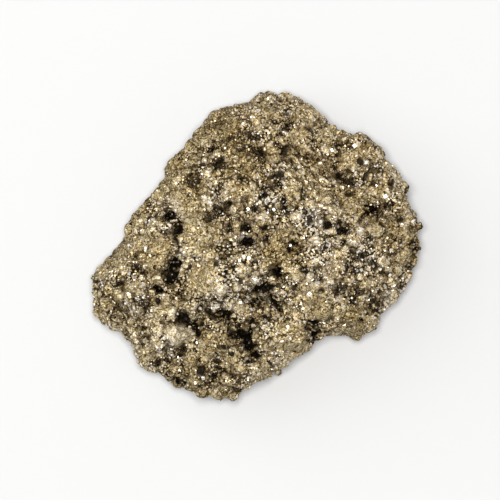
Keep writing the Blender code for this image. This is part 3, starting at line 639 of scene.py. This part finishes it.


# the crystals, each kind growing where the larger ones before it leave room
# for the blocks and grains the second row of tones, the lightest crystals, stands in for glints: painted
# highlights
crystals = {
    "slabs": {
        "kinds": {"block": 0.8, "nugget": 0.2}, "low": 1.0, "high": 2.0, "favourLow": 1.5, "gap": 0.85,
        "sunk": 0.34, "tilt": 0.3, "squash": 0.3, "bald": 0.4, "clear": 0.5, "lines": 1.0, "facePaintedLight": 0.06,
        "tones": ((0.92, 0.44, 0.58), (0.06, 0.62, 0.75), (0.02, 0.3, 0.4)),  # share, darkest, lightest
        "candidates": 30000, "pieces": 1,
    },
    "blocks": {
        "kinds": {"cube": 0.65, "cut cube": 0.2, "octahedron": 0.15},
        "low": 0.5, "high": 1.1, "favourLow": 1.3, "gap": 0.66,
        "sunk": 0.28, "tilt": 0.45, "squash": 0.3, "bald": 0.7, "clear": 0.45, "lines": 0.6, "facePaintedLight": 0.10,
        "tones": ((0.94, 0.46, 0.64), (0.02, 0.8, 1.0), (0.04, 0.3, 0.42)),
        "candidates": 120000, "pieces": 1,
    },
    "grains": {
        "kinds": {"cube": 0.35, "octahedron": 0.25, "cut cube": 0.1, "grain": 0.3},
        "low": 0.36, "high": 0.72, "favourLow": 1.4, "gap": 0.78,
        "sunk": 0.06, "tilt": 9.0, "squash": 0.2, "bald": 0.85, "clear": 0.0, "lines": 0.0, "facePaintedLight": 0.24,
        "tones": ((0.77, 0.46, 0.74), (0.13, 0.85, 1.05), (0.10, 0.1, 0.3)),
        "candidates": 260000, "pieces": 3,
    },
}

# what all the crystals share; widths are shares of a crystal's own width
growth = {
    "lowest": 0.5,  # height over the floor
    "moundFree": 0.6,  # no crystals on this share of a mound
    "moundsFrom": 10,  # height
    "largeFrom": 0.9,  # kinds larger than this stay out of the ridges
    "thinFrom": 4,  # under this height they stand further apart
    "thinOver": 3,
    "cover": 0.42,  # how far a larger crystal keeps smaller ones away
    "inPit": 0.1,
    "pitShade": 0.2,
    "sunkOnWalls": 0.34,
    "smallerOnFlank": 0.2,
    "flankTone": 0.6,
    "flankEven": 0.45,  # how much the tones on the flank are alike
    # painted glints: a share of the crystals in pits gets less painted shade
    "glints": 0.13,  # share of the crystals in pits that catch light
    "glintShade": 0.45,
    # painted shade at each crystal's foot: how fast it fades upwards, where it starts and how dark it gets
    "footFade": 4.4,  # how fast a crystal's foot gets lighter upwards
    "footStart": 0.1,
    "footShade": 0.04,
}

# the shapes a little under 1 wide
shapeSizes = {
    "cube": 0.86, "block": 0.9, "blockBevel": 0.14, "octahedron": 0.62, "corner": 0.3, "grain": 0.52,
    "lumpy": 0.25, "lumps": 3.3,
}


def template(kind):
    bm = bmesh.new()
    if kind == "cube":
        bmesh.ops.create_cube(bm, size=shapeSizes["cube"])
    elif kind == "block":
        bmesh.ops.create_cube(bm, size=shapeSizes["block"])
        bmesh.ops.bevel(
            bm, geom=bm.edges[:], affect="EDGES", offset=shapeSizes["blockBevel"], segments=1,
            profile=0.5, material=-1,
        )
    elif kind == "octahedron":
        bmesh.ops.create_uvsphere(bm, u_segments=4, v_segments=2, radius=shapeSizes["octahedron"])
    elif kind == "cut cube":
        bmesh.ops.create_cube(bm, size=shapeSizes["block"])
        bmesh.ops.bevel(
            bm, geom=bm.verts[:], affect="VERTICES", offset=shapeSizes["corner"], segments=1,
            profile=0.5, material=-1,
        )
    else:
        subdivisions = 2 if kind == "nugget" else 1
        bmesh.ops.create_icosphere(bm, subdivisions=subdivisions, radius=shapeSizes["grain"])
        for v in bm.verts:
            v.co *= 1 + shapeSizes["lumpy"] * noise.noise(v.co * shapeSizes["lumps"])
    bmesh.ops.recalc_face_normals(bm, faces=bm.faces)
    bmesh.ops.triangulate(bm, faces=bm.faces)
    corners = np.array([v.co for v in bm.verts])
    faces = np.array([[v.index for v in f.verts] for f in bm.faces])
    bm.free()
    a, b, c = (corners[faces[:, k]] for k in range(3))
    return corners, faces, unit(np.cross(b - a, c - a))


def turnsFrom(normals, dice, tilt):
    # a turn for each crystal: its Z near the normal, leaning by about tilt, spun at random
    up = unit(normals + dice.normal(size=normals.shape) * tilt)
    side = unit(np.cross(up, dice.normal(size=normals.shape)))
    return np.stack([side, np.cross(up, side), up], axis=2)


def surfacePoints(mesh, dice, count):
    # random places on the body, even by area, with their normals and the painted shade of the hollows there
    mesh.calc_loop_triangles()
    corners = np.zeros(len(mesh.loop_triangles) * 3, int)
    mesh.loop_triangles.foreach_get("vertices", corners)
    corners = corners.reshape(-1, 3)
    points, _ = readMesh(mesh)
    paintedHollowShade = np.zeros(len(points))
    mesh.attributes["paintedHollowShade"].data.foreach_get("value", paintedHollowShade)
    a, b, c = (points[corners[:, k]] for k in range(3))
    cross = np.cross(b - a, c - a)
    area = np.linalg.norm(cross, axis=1)
    pick = dice.choice(len(area), count, p=area / area.sum())
    u, v = np.sqrt(dice.random(count)), dice.random(count)
    weights = np.stack([1 - u, u * (1 - v), u * v], axis=1)
    smooth = np.zeros_like(points)
    for k in range(3):
        np.add.at(smooth, corners[:, k], cross)
    places, shade, normals = np.zeros((count, 3)), np.zeros(count), np.zeros((count, 3))
    for k in range(3):
        at = corners[pick, k]
        places += weights[:, k, None] * points[at]
        normals += weights[:, k, None] * smooth[at]
        shade += weights[:, k] * paintedHollowShade[at]
    high = places[:, 2] > growth["lowest"]
    return places[high], unit(normals[high]), shade[high]


def treeOf(places):
    tree = kdtree.KDTree(len(places))
    for k, place in enumerate(places):
        tree.insert(place, k)
    tree.balance()
    return tree


def thinOut(places, gaps):
    # the places left when each kept one clears its own gap
    tree = treeOf(places)
    left = np.ones(len(places), bool)
    kept = []
    for k, place in enumerate(places):
        if left[k]:
            kept.append(k)
            for _, other, _ in tree.find_range(place, gaps[k]):
                left[other] = False
    return np.array(kept)


def joinCrystals(name, batches, facePaintedLight, lines):
    # one mesh from batches of a shape with its places, normals, turns, sizes, tones and painted shade
    dice = np.random.default_rng(len(batches))
    corners, faces, tones, paintedShades, warms, rings, start = [], [], [], [], [], [], 0
    for (shape, shapeFaces, facing), places, normals, turns, sizes, tone, shade in batches:
        offsets = np.einsum("nij,nkj->nki", turns, shape[None] * sizes[:, None, :])
        corners.append((offsets + places[:, None]).reshape(-1, 3))
        rise = np.einsum("nki,ni->nk", offsets, normals) / sizes.mean(axis=1)[:, None]
        # painted shade at the foot of each crystal and from the pits
        paintedFootShade = np.clip(rise * growth["footFade"] - growth["footStart"], growth["footShade"], 1)
        paintedShades.append((paintedFootShade * (1 - shade[:, None])).ravel())
        first = start + np.arange(len(places)) * len(shape)
        faces.append((shapeFaces[None] + first[:, None, None]).reshape(-1, 3))
        # painted light and shade: each crystal's faces lighter on one side and darker on the other, along a
        # random direction
        paintedLightSide = dice.normal(size=(len(places), 3))
        tones.append((tone[:, None] + paintedLightSide @ facing.T * facePaintedLight).ravel())
        warms.append(np.repeat(warmth(places), len(shape)))
        rings.append((shape[None, :, 0] * sizes[:, :1] + dice.random((len(places), 1))).ravel())
        start += len(places) * len(shape)
    corners, faces = np.concatenate(corners), np.concatenate(faces)
    corners[:, 2] = np.maximum(corners[:, 2], 0)
    mesh = bpy.data.meshes.new(name)
    mesh.vertices.add(len(corners))
    mesh.vertices.foreach_set("co", (corners * mm).ravel())
    mesh.loops.add(faces.size)
    mesh.loops.foreach_set("vertex_index", faces.ravel())
    mesh.polygons.add(len(faces))
    mesh.polygons.foreach_set("loop_start", np.arange(len(faces)) * 3)
    mesh.polygons.foreach_set("loop_total", np.full(len(faces), 3))
    mesh.update(calc_edges=True)
    mesh.shade_flat()
    addAttribute(mesh, "tone", np.concatenate(tones), "FACE")
    addAttribute(mesh, "open", np.concatenate(paintedShades))
    addAttribute(mesh, "warm", np.concatenate(warms))
    addAttribute(mesh, "rough", np.zeros(len(corners)))
    addAttribute(mesh, "lines", np.full(len(corners), lines))
    addAttribute(mesh, "ring", np.concatenate(rings))
    return mesh


def covered(place, larger):
    # whether a place lies under a larger crystal
    for tree, widths in larger:
        _, k, far = tree.find(place)
        if far < widths[k] * growth["cover"]:
            return True
    return False


def lieInRidges(places, turns, sizes, dice):
    # in the ridges the crystals are stretched and turned to lie along them
    for area in ridges["areas"]:
        long = (ovalDistance(places, *area[:5]) < 1) & (places[:, 2] > ridges["from"])
        turn = math.radians(area[4]) + dice.normal(size=long.sum()) * ridges["stray"]
        up = turns[long, :, 2]
        across = unit(np.cross(up, np.stack([np.cos(turn), np.sin(turn), 0 * turn], axis=1)))
        turns[long] = np.stack([np.cross(across, up), across, up], axis=2)
        sizes[long] *= ridges["stretch"]


def roomFor(plan, bodyMesh, dice, larger):
    # places for one kind of crystal, with the body's normals and shade there and the widths
    places, normals, shade = surfacePoints(bodyMesh, dice, plan["candidates"])
    grow = dice.random(len(places)) > baldness(places, normals) * plan["bald"]
    grow &= (moundHeight(places)[0] < growth["moundFree"]) | (places[:, 2] < growth["moundsFrom"])
    grow &= (ridgeValleys(places)[0] < 0.5) | (plan["low"] < growth["largeFrom"])
    places, normals, shade = places[grow], normals[grow], shade[grow]
    under = np.clip((growth["thinFrom"] - places[:, 2]) / growth["thinOver"], 0, 1)
    widths = plan["low"] * (plan["high"] / plan["low"]) ** (dice.random(len(places)) ** plan["favourLow"])
    widths *= 1 - growth["smallerOnFlank"] * flankAt(places)
    kept = thinOut(places, widths * plan["gap"] * (1 + under))
    kept = np.array([k for k in kept if not covered(places[k], larger)])
    if plan["clear"]:
        kept = kept[pitDepth(places[kept], widths[kept] * plan["clear"])[0] < growth["inPit"]]
    return places[kept], normals[kept], shade[kept], widths[kept]


def growCrystals(label, plan, bodyMesh, dice, larger):
    places, normals, shade, widths = roomFor(plan, bodyMesh, dice, larger)
    count = len(places)
    # painted shade from the pits on the top
    pitShade = pitDepth(places, widths * growth["pitShade"])[0] * topShare(places)
    shade = np.maximum(shade, pitShade)
    larger.append((treeOf(places), widths))
    steep = steepness(normals[:, 2], slope=2)
    places = places - normals * (widths * (plan["sunk"] + growth["sunkOnWalls"] * steep))[:, None]
    turns = turnsFrom(normals, dice, plan["tilt"])
    sizes = widths[:, None] * dice.uniform(1 - plan["squash"], 1, (count, 3))
    if plan["clear"]:
        lieInRidges(places, turns, sizes, dice)
    # painted glints in the pits
    shade *= np.where(dice.random(count) < growth["glints"], growth["glintShade"], 1)
    shares, lows, highs = (np.array(column) for column in zip(*plan["tones"]))
    group = dice.choice(len(shares), count, p=shares)
    tone = dice.uniform(lows[group], highs[group])
    even = (growth["flankTone"] - tone) * growth["flankEven"] * flankAt(places)
    tone += even + paleness(places, normals)
    kind = dice.choice(len(plan["kinds"]), count, p=list(plan["kinds"].values()))
    group = dice.integers(plan["pieces"], size=count)
    shapes = [template(k) for k in plan["kinds"]]
    meshes = []
    for part in range(plan["pieces"]):
        batches = []
        for k, shape in enumerate(shapes):
            own = (group == part) & (kind == k)
            batches.append((shape, places[own], normals[own], turns[own], sizes[own], tone[own], shade[own]))
        meshes.append(joinCrystals(f"{label}_{part + 1}", batches, plan["facePaintedLight"], plan["lines"]))
    print(label, count)
    return meshes


glintLook = {
    "upright": 0.7,  # how much they face up, against the body's own slope
    "slope": 0.3,
    "sunk": 0.05,
    "narrow": 0.6,
    "tilt": 0.12,
    # the light tone is a painted highlight
    "tones": (0.95, 1.1),
    "facePaintedLight": 0.2,
}


def placeGlintFaces(stone, dice):
    # each glint face is a crystal set on the body below its place, with a light tone as a painted highlight
    found = []
    for x, y, width in glintFaces:
        hit, place, normal, _ = stone.ray_cast((x * mm, y * mm, 0.1), (0, 0, -1))
        if hit:
            found.append((place, normal, width))
    places, normals = (np.array([row[k] for row in found]) for k in (0, 1))
    widths = np.array([row[2] for row in found])
    normals = unit(normals * glintLook["slope"] + (0, 0, glintLook["upright"]))
    places = places / mm - normals * (widths * glintLook["sunk"])[:, None]
    sizes = widths[:, None] * dice.uniform(glintLook["narrow"], 1, (len(found), 3))
    turns = turnsFrom(normals, dice, glintLook["tilt"])
    tone = dice.uniform(*glintLook["tones"], len(found))
    batch = (template("block"), places, normals, turns, sizes, tone, np.zeros(len(found)))
    return joinCrystals("glint_faces", [batch], glintLook["facePaintedLight"], 0.0)


# one material for the body and the crystals; "flat" is its value on smooth places
pyriteLook = {
    "facetWidth": 0.38,
    "facetEdge": 6.5,  # the higher, the narrower the dark joints between facets
    "gapStart": 1.1,
    "facetToneRough": 0.45,
    "facetToneFlat": 0.12,
    "lineSpacing": 10,  # growth lines along the ring distance, bent by a wide and a narrow noise
    "lineBends": ((2.0, 22), (0.6, 4)),
    "lineTone": 0.27,
    "beadWidth": 1.15,
    "beadEdge": 12.0,
    "beadPushWidth": 0.9,
    "beadPush": 0.6,
    "crackTone": 0.8,
    "patchWidth": 6.0,
    "patchTone": 0.16,
    "fineWidth": 0.35,
    "fineTone": 0.40,
    "speckWidth": 0.24,
    "speckTone": 0.5,
    "speckLessFlat": 0.25,
    # the sparkles are painted highlights
    "sparkShare": 8,  # one speck in so many sparkles
    "sparkTone": 0.35,
    "sparkLessFlat": 0.06,
    "toneShare": 0.75,
    "lift": 0.075,
    "liftFlat": 0.02,
    "grey": [
        (0.0, (0.05, 0.034, 0.012)), (0.2, (0.24, 0.178, 0.076)), (0.45, (0.54, 0.448, 0.258)),
        (0.7, (0.705, 0.655, 0.56)), (0.95, (0.84, 0.83, 0.82)),
    ],
    "brown": [
        (0.0, (0.05, 0.030, 0.009)), (0.2, (0.25, 0.166, 0.058)), (0.45, (0.565, 0.434, 0.208)),
        (0.7, (0.725, 0.64, 0.505)), (0.95, (0.85, 0.825, 0.8)),
    ],
    "shade": [(0.0, (0.013, 0.009, 0.005)), (0.3, (0.36, 0.31, 0.235)), (0.65, (1, 1, 1))],
    "warmShare": 0.5,
    "warmUsual": 0.6,
    "warmLessFlat": 0.35,
    "roughness": 0.70,
    "shine": 0.25,  # how much less rough the lightest places are
    "roughChange": 0.25,
    "roughFlat": 0.06,
    "bumpFlat": 0.2,
    "bump": 1.2,
    "metal": 0.78,
    "metalLessFlat": 0.36,
    "specular": 0.2,
}


def pyriteFinish():
    look = pyriteLook
    f = Finish("pyrite")
    place = f.place()
    names = ("tone", "open", "rough", "warm", "lines", "ring")
    tone, paintedShadeJoints, rough, warm, flat, ring = (f.attribute(name) for name in names)
    # flat facets: each small cell leans its own way
    facets, half = look["facetWidth"], (0.5, 0.5, 0.5)
    shift = f.vector("SUBTRACT", place, f.cells(facets, output="Position"))
    lean = f.vector("SUBTRACT", f.cells(facets, output="Color"), half)
    slope = f.vector("DOT_PRODUCT", shift, lean, "Value")
    edge = f.cells(facets, "DISTANCE_TO_EDGE")
    luck = f.red(f.cells(facets, output="Color"))
    # growth lines on the smooth places
    (wide, wideBend), (narrow, narrowBend) = look["lineBends"]
    wave = ring * look["lineSpacing"] + f.noise(wide) * wideBend + f.noise(narrow) * narrowBend
    line = (f.maths("SINE", wave) * 2.0 - 0.6).clamp() * flat
    # thin cracks between smooth beads
    reach = [look["beadPush"] * mm] * 3
    push = f.vector("MULTIPLY", f.noise(look["beadPushWidth"], output="Color"), reach)
    beads = f.cells(look["beadWidth"], "DISTANCE_TO_EDGE", at=f.vector("ADD", place, push))
    crack = (1.0 - beads * look["beadEdge"]).clamp() * flat
    # how light each place is
    patch, fine = f.noise(look["patchWidth"]), f.noise(look["fineWidth"])
    speck = f.red(f.cells(look["speckWidth"], output="Color"))
    # painted highlights: one speck in so many is a bright sparkle
    paintedSparkle = (speck * look["sparkShare"] - (look["sparkShare"] - 1)).clamp()
    lit = tone * look["toneShare"]
    lit += (luck - 0.5) * (look["facetToneRough"] * rough + look["facetToneFlat"] * flat)
    lit += (patch - 0.5) * look["patchTone"] + (fine - 0.5) * look["fineTone"]
    lit += (speck - 0.5) * (look["speckTone"] - look["speckLessFlat"] * flat)
    lit += paintedSparkle * (look["sparkTone"] - look["sparkLessFlat"] * flat)
    lit = (lit - line * look["lineTone"] + look["liftFlat"] * flat + look["lift"]).clamp()
    # its colour, darkened by painted shade in the hollows, under the crust and at the crystals' feet, and by
    # the dark joints
    brownness = (warm * look["warmShare"] + look["warmUsual"] - flat * look["warmLessFlat"]).clamp()
    colour = f.mix(brownness, f.ramp(lit, look["grey"]), f.ramp(lit, look["brown"]))
    gap = (edge * look["facetEdge"] + look["gapStart"] - rough).clamp()
    shade = f.ramp(paintedShadeJoints * gap * (1.0 - crack * look["crackTone"]), look["shade"])
    f.into("Base Color", f.mix(1.0, colour, shade, "MULTIPLY"))
    dull = look["roughness"] - look["shine"] * lit + look["roughChange"] * (fine - 0.5)
    f.into("Roughness", (dull + look["roughFlat"] * flat).clamp())
    height = slope * (rough + look["bumpFlat"] * flat)
    f.into("Normal", f.node("ShaderNodeBump", None, {"Height": height, "Distance": look["bump"]}))
    f.into("Metallic", look["metal"] - look["metalLessFlat"] * flat)
    f.shader.inputs["Specular IOR Level"].default_value = look["specular"]
    return f.material


# in metres, watts and millimetres where the name says so
studio = {
    "frameWidth": 89.3,  # millimetres
    "lookAt": (-0.98, -0.80, 11.0),  # millimetres
    "lens": 400,  # of a 36 mm wide sensor
    "sensor": 36,
    "floorHalf": 900,  # millimetres
    "paper": (0.526, 0.529, 0.532, 1),
    "paperRoughness": 0.9,
    "sky": (0.95, 0.975, 1, 1),
    "skyStrength": 0.30,
    "lights": {  # place, size, power and colour
        "key": ((-0.012, 0.016, 0.95), 0.14, 11.7, (1, 0.985, 0.96)),
        "window": ((-0.5, 0.22, 0.72), 0.8, 3.2, (0.97, 0.985, 1)),
    },
}


def stageSet():
    bm = bmesh.new()
    bmesh.ops.create_grid(bm, x_segments=1, y_segments=1, size=studio["floorHalf"] * mm)
    mesh = bpy.data.meshes.new("floor")
    bm.to_mesh(mesh)
    bm.free()
    floor = linkPiece("floor", mesh)
    paper = Finish("paper")
    paper.shader.inputs["Base Color"].default_value = studio["paper"]
    paper.shader.inputs["Roughness"].default_value = studio["paperRoughness"]
    mesh.materials.append(paper.material)


def areaLight(name, place, size, power, colour):
    lamp = bpy.data.lights.new(name, "AREA")
    lamp.size, lamp.energy, lamp.color = size, power, colour
    holder = bpy.data.objects.new(name, lamp)
    holder.location = place
    holder.rotation_euler = (-Vector(place)).to_track_quat("-Z", "Y").to_euler()
    bpy.context.scene.collection.objects.link(holder)


def lightAndCamera():
    scene = bpy.context.scene
    scene.view_settings.view_transform = "Standard"
    world = bpy.data.worlds.new("studio")
    world.use_nodes = True
    sky = world.node_tree.nodes["Background"]
    sky.inputs["Color"].default_value = studio["sky"]
    sky.inputs["Strength"].default_value = studio["skyStrength"]
    scene.world = world
    for name, settings in studio["lights"].items():
        areaLight(name, *settings)
    camera = bpy.data.cameras.new("camera")
    camera.lens, camera.sensor_width = studio["lens"], studio["sensor"]
    camera.clip_end = 10
    holder = bpy.data.objects.new("camera", camera)
    x, y, z = studio["lookAt"]
    distance = studio["frameWidth"] * studio["lens"] / studio["sensor"]
    holder.location = (x * mm, y * mm, (z + distance) * mm)
    scene.collection.objects.link(holder)
    scene.camera = holder


bodyMesh = makeBody()
stone = linkPiece("stone_body", bodyMesh)
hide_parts(nodeName)
print("stone body made")

dice = np.random.default_rng(5)
shown, larger = [stone], []
for label, plan in crystals.items():
    shown += [linkPiece(mesh.name, mesh) for mesh in growCrystals(label, plan, bodyMesh, dice, larger)]
shown.append(linkPiece("glint_faces", placeGlintFaces(stone, dice)))
simplifyBase(bodyMesh)
finish = pyriteFinish()
for piece in shown:
    piece.data.materials.append(finish)
    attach(piece, "root")
    print(piece.name, sum(len(p.vertices) - 2 for p in piece.data.polygons), "triangles")

stageSet()
lightAndCamera()
print("floor, lights and camera set")
